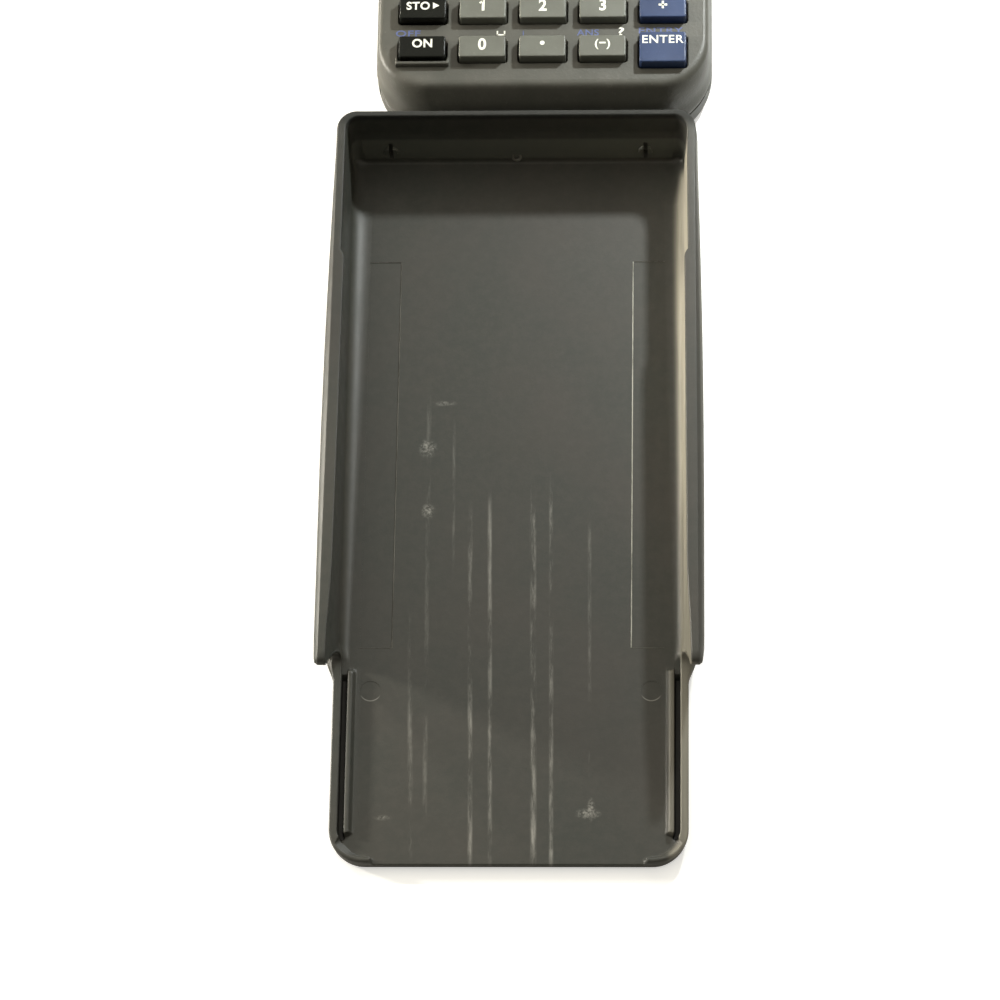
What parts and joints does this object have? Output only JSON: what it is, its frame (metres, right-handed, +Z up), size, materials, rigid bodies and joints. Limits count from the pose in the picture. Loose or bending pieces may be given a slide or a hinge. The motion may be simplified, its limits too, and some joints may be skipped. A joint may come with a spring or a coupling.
{
  "type": "graphing calculator",
  "caption": "Pocket graphing calculator with sprung keys, a display, a sliding battery door and a slide cover that lies inside up in front of it.",
  "frame": {"origin": "on the table, at the middle of the footprint of the calculator and its cover together", "axes": "+Y from the cover towards the calculator's display end, +X to the right of the keyboard, +Z up out of the keys"},
  "size_m": [0.09, 0.3626, 0.0236],
  "materials": {
    "case_plastic": "fine-grained dark warm grey, lightly worn",
    "cover_plastic": "dark grey-green, scuffed on the inside",
    "pale_key_plastic": "satin warm grey",
    "dark_key_plastic": "satin black",
    "blue_key_plastic": "satin slate blue",
    "window_plastic": "clear, with a dark printed border",
    "lcd_glass": "grey-green reflective display",
    "mat_rubber": "matt grey silicone",
    "board_laminate": "green solder mask",
    "cell_jacket": null,
    "coin_steel": "bright"
  },
  "bodies": {
    "calculator": {"front_shell": "case_plastic", "rear_shell": "case_plastic", "display_window": "window_plastic", "lcd_module": "lcd_glass", "main_board": "board_laminate", "keypad_mat": "mat_rubber", "battery_cells": "cell_jacket", "backup_cell": "coin_steel"},
    "cover": {"slide_cover": "cover_plastic"},
    "door": {"battery_door": "case_plastic"},
    "on_key": {"key_on": "dark_key_plastic"},
    "zero_key": {"key_zero": "pale_key_plastic"},
    "point_key": {"key_point": "pale_key_plastic"},
    "negate_key": {"key_negate": "pale_key_plastic"},
    "enter_key": {"key_enter": "blue_key_plastic"},
    "store_key": {"key_store": "dark_key_plastic"},
    "one_key": {"key_one": "pale_key_plastic"},
    "two_key": {"key_two": "pale_key_plastic"},
    "three_key": {"key_three": "pale_key_plastic"},
    "add_key": {"key_add": "blue_key_plastic"},
    "ln_key": {"key_ln": "dark_key_plastic"},
    "four_key": {"key_four": "pale_key_plastic"},
    "five_key": {"key_five": "pale_key_plastic"},
    "six_key": {"key_six": "pale_key_plastic"},
    "subtract_key": {"key_subtract": "blue_key_plastic"},
    "log_key": {"key_log": "dark_key_plastic"},
    "seven_key": {"key_seven": "pale_key_plastic"},
    "eight_key": {"key_eight": "pale_key_plastic"},
    "nine_key": {"key_nine": "pale_key_plastic"},
    "multiply_key": {"key_multiply": "blue_key_plastic"},
    "square_key": {"key_square": "dark_key_plastic"},
    "comma_key": {"key_comma": "dark_key_plastic"},
    "bracket_open_key": {"key_bracket_open": "dark_key_plastic"},
    "bracket_close_key": {"key_bracket_close": "dark_key_plastic"},
    "divide_key": {"key_divide": "blue_key_plastic"},
    "inverse_key": {"key_inverse": "dark_key_plastic"},
    "sine_key": {"key_sine": "dark_key_plastic"},
    "cosine_key": {"key_cosine": "dark_key_plastic"},
    "tangent_key": {"key_tangent": "dark_key_plastic"},
    "power_key": {"key_power": "dark_key_plastic"},
    "math_key": {"key_math": "dark_key_plastic"},
    "list_key": {"key_list": "dark_key_plastic"},
    "program_key": {"key_program": "dark_key_plastic"},
    "variables_key": {"key_variables": "dark_key_plastic"},
    "clear_key": {"key_clear": "dark_key_plastic"},
    "alpha_key": {"key_alpha": "dark_key_plastic"},
    "graph_variable_key": {"key_graph_variable": "dark_key_plastic"},
    "statistics_key": {"key_statistics": "dark_key_plastic"},
    "second_key": {"key_second": "blue_key_plastic"},
    "mode_key": {"key_mode": "dark_key_plastic"},
    "delete_key": {"key_delete": "dark_key_plastic"},
    "function_1_key": {"key_function_1": "dark_key_plastic"},
    "function_2_key": {"key_function_2": "dark_key_plastic"},
    "function_3_key": {"key_function_3": "dark_key_plastic"},
    "function_4_key": {"key_function_4": "dark_key_plastic"},
    "function_5_key": {"key_function_5": "dark_key_plastic"},
    "up_key": {"key_up": "dark_key_plastic"},
    "down_key": {"key_down": "dark_key_plastic"},
    "left_key": {"key_left": "dark_key_plastic"},
    "right_key": {"key_right": "dark_key_plastic"}
  },
  "joints": [
    {"name": "cover_slide", "type": "slide", "parent": "calculator", "child": "cover", "axis": [0, -1, 0], "range_m": [0, 0.12]},
    {"name": "battery_door_slide", "type": "slide", "parent": "calculator", "child": "door", "axis": [0, 1, 0], "range_m": [0, 0.063]},
    {"name": "on_key_press", "type": "slide", "parent": "calculator", "child": "on_key", "axis": [0, 0, -1], "range_m": [0, 0.001], "stiffness_N_per_m": 1500},
    {"name": "zero_key_press", "type": "slide", "parent": "calculator", "child": "zero_key", "axis": [0, 0, -1], "range_m": [0, 0.001], "stiffness_N_per_m": 1500},
    {"name": "point_key_press", "type": "slide", "parent": "calculator", "child": "point_key", "axis": [0, 0, -1], "range_m": [0, 0.001], "stiffness_N_per_m": 1500},
    {"name": "negate_key_press", "type": "slide", "parent": "calculator", "child": "negate_key", "axis": [0, 0, -1], "range_m": [0, 0.001], "stiffness_N_per_m": 1500},
    {"name": "enter_key_press", "type": "slide", "parent": "calculator", "child": "enter_key", "axis": [0, 0, -1], "range_m": [0, 0.001], "stiffness_N_per_m": 1500},
    {"name": "store_key_press", "type": "slide", "parent": "calculator", "child": "store_key", "axis": [0, 0, -1], "range_m": [0, 0.001], "stiffness_N_per_m": 1500},
    {"name": "one_key_press", "type": "slide", "parent": "calculator", "child": "one_key", "axis": [0, 0, -1], "range_m": [0, 0.001], "stiffness_N_per_m": 1500},
    {"name": "two_key_press", "type": "slide", "parent": "calculator", "child": "two_key", "axis": [0, 0, -1], "range_m": [0, 0.001], "stiffness_N_per_m": 1500},
    {"name": "three_key_press", "type": "slide", "parent": "calculator", "child": "three_key", "axis": [0, 0, -1], "range_m": [0, 0.001], "stiffness_N_per_m": 1500},
    {"name": "add_key_press", "type": "slide", "parent": "calculator", "child": "add_key", "axis": [0, 0, -1], "range_m": [0, 0.001], "stiffness_N_per_m": 1500},
    {"name": "ln_key_press", "type": "slide", "parent": "calculator", "child": "ln_key", "axis": [0, 0, -1], "range_m": [0, 0.001], "stiffness_N_per_m": 1500},
    {"name": "four_key_press", "type": "slide", "parent": "calculator", "child": "four_key", "axis": [0, 0, -1], "range_m": [0, 0.001], "stiffness_N_per_m": 1500},
    {"name": "five_key_press", "type": "slide", "parent": "calculator", "child": "five_key", "axis": [0, 0, -1], "range_m": [0, 0.001], "stiffness_N_per_m": 1500},
    {"name": "six_key_press", "type": "slide", "parent": "calculator", "child": "six_key", "axis": [0, 0, -1], "range_m": [0, 0.001], "stiffness_N_per_m": 1500},
    {"name": "subtract_key_press", "type": "slide", "parent": "calculator", "child": "subtract_key", "axis": [0, 0, -1], "range_m": [0, 0.001], "stiffness_N_per_m": 1500},
    {"name": "log_key_press", "type": "slide", "parent": "calculator", "child": "log_key", "axis": [0, 0, -1], "range_m": [0, 0.001], "stiffness_N_per_m": 1500},
    {"name": "seven_key_press", "type": "slide", "parent": "calculator", "child": "seven_key", "axis": [0, 0, -1], "range_m": [0, 0.001], "stiffness_N_per_m": 1500},
    {"name": "eight_key_press", "type": "slide", "parent": "calculator", "child": "eight_key", "axis": [0, 0, -1], "range_m": [0, 0.001], "stiffness_N_per_m": 1500},
    {"name": "nine_key_press", "type": "slide", "parent": "calculator", "child": "nine_key", "axis": [0, 0, -1], "range_m": [0, 0.001], "stiffness_N_per_m": 1500},
    {"name": "multiply_key_press", "type": "slide", "parent": "calculator", "child": "multiply_key", "axis": [0, 0, -1], "range_m": [0, 0.001], "stiffness_N_per_m": 1500},
    {"name": "square_key_press", "type": "slide", "parent": "calculator", "child": "square_key", "axis": [0, 0, -1], "range_m": [0, 0.001], "stiffness_N_per_m": 1500},
    {"name": "comma_key_press", "type": "slide", "parent": "calculator", "child": "comma_key", "axis": [0, 0, -1], "range_m": [0, 0.001], "stiffness_N_per_m": 1500},
    {"name": "bracket_open_key_press", "type": "slide", "parent": "calculator", "child": "bracket_open_key", "axis": [0, 0, -1], "range_m": [0, 0.001], "stiffness_N_per_m": 1500},
    {"name": "bracket_close_key_press", "type": "slide", "parent": "calculator", "child": "bracket_close_key", "axis": [0, 0, -1], "range_m": [0, 0.001], "stiffness_N_per_m": 1500},
    {"name": "divide_key_press", "type": "slide", "parent": "calculator", "child": "divide_key", "axis": [0, 0, -1], "range_m": [0, 0.001], "stiffness_N_per_m": 1500},
    {"name": "inverse_key_press", "type": "slide", "parent": "calculator", "child": "inverse_key", "axis": [0, 0, -1], "range_m": [0, 0.001], "stiffness_N_per_m": 1500},
    {"name": "sine_key_press", "type": "slide", "parent": "calculator", "child": "sine_key", "axis": [0, 0, -1], "range_m": [0, 0.001], "stiffness_N_per_m": 1500},
    {"name": "cosine_key_press", "type": "slide", "parent": "calculator", "child": "cosine_key", "axis": [0, 0, -1], "range_m": [0, 0.001], "stiffness_N_per_m": 1500},
    {"name": "tangent_key_press", "type": "slide", "parent": "calculator", "child": "tangent_key", "axis": [0, 0, -1], "range_m": [0, 0.001], "stiffness_N_per_m": 1500},
    {"name": "power_key_press", "type": "slide", "parent": "calculator", "child": "power_key", "axis": [0, 0, -1], "range_m": [0, 0.001], "stiffness_N_per_m": 1500},
    {"name": "math_key_press", "type": "slide", "parent": "calculator", "child": "math_key", "axis": [0, 0, -1], "range_m": [0, 0.001], "stiffness_N_per_m": 1500},
    {"name": "list_key_press", "type": "slide", "parent": "calculator", "child": "list_key", "axis": [0, 0, -1], "range_m": [0, 0.001], "stiffness_N_per_m": 1500},
    {"name": "program_key_press", "type": "slide", "parent": "calculator", "child": "program_key", "axis": [0, 0, -1], "range_m": [0, 0.001], "stiffness_N_per_m": 1500},
    {"name": "variables_key_press", "type": "slide", "parent": "calculator", "child": "variables_key", "axis": [0, 0, -1], "range_m": [0, 0.001], "stiffness_N_per_m": 1500},
    {"name": "clear_key_press", "type": "slide", "parent": "calculator", "child": "clear_key", "axis": [0, 0, -1], "range_m": [0, 0.001], "stiffness_N_per_m": 1500},
    {"name": "alpha_key_press", "type": "slide", "parent": "calculator", "child": "alpha_key", "axis": [0, 0, -1], "range_m": [0, 0.001], "stiffness_N_per_m": 1500},
    {"name": "graph_variable_key_press", "type": "slide", "parent": "calculator", "child": "graph_variable_key", "axis": [0, 0, -1], "range_m": [0, 0.001], "stiffness_N_per_m": 1500},
    {"name": "statistics_key_press", "type": "slide", "parent": "calculator", "child": "statistics_key", "axis": [0, 0, -1], "range_m": [0, 0.001], "stiffness_N_per_m": 1500},
    {"name": "second_key_press", "type": "slide", "parent": "calculator", "child": "second_key", "axis": [0, 0, -1], "range_m": [0, 0.001], "stiffness_N_per_m": 1500},
    {"name": "mode_key_press", "type": "slide", "parent": "calculator", "child": "mode_key", "axis": [0, 0, -1], "range_m": [0, 0.001], "stiffness_N_per_m": 1500},
    {"name": "delete_key_press", "type": "slide", "parent": "calculator", "child": "delete_key", "axis": [0, 0, -1], "range_m": [0, 0.001], "stiffness_N_per_m": 1500},
    {"name": "function_1_key_press", "type": "slide", "parent": "calculator", "child": "function_1_key", "axis": [0, 0, -1], "range_m": [0, 0.001], "stiffness_N_per_m": 1500},
    {"name": "function_2_key_press", "type": "slide", "parent": "calculator", "child": "function_2_key", "axis": [0, 0, -1], "range_m": [0, 0.001], "stiffness_N_per_m": 1500},
    {"name": "function_3_key_press", "type": "slide", "parent": "calculator", "child": "function_3_key", "axis": [0, 0, -1], "range_m": [0, 0.001], "stiffness_N_per_m": 1500},
    {"name": "function_4_key_press", "type": "slide", "parent": "calculator", "child": "function_4_key", "axis": [0, 0, -1], "range_m": [0, 0.001], "stiffness_N_per_m": 1500},
    {"name": "function_5_key_press", "type": "slide", "parent": "calculator", "child": "function_5_key", "axis": [0, 0, -1], "range_m": [0, 0.001], "stiffness_N_per_m": 1500},
    {"name": "up_key_press", "type": "slide", "parent": "calculator", "child": "up_key", "axis": [0, 0, -1], "range_m": [0, 0.001], "stiffness_N_per_m": 1500},
    {"name": "down_key_press", "type": "slide", "parent": "calculator", "child": "down_key", "axis": [0, 0, -1], "range_m": [0, 0.001], "stiffness_N_per_m": 1500},
    {"name": "left_key_press", "type": "slide", "parent": "calculator", "child": "left_key", "axis": [0, 0, -1], "range_m": [0, 0.001], "stiffness_N_per_m": 1500},
    {"name": "right_key_press", "type": "slide", "parent": "calculator", "child": "right_key", "axis": [0, 0, -1], "range_m": [0, 0.001], "stiffness_N_per_m": 1500}
  ]
}
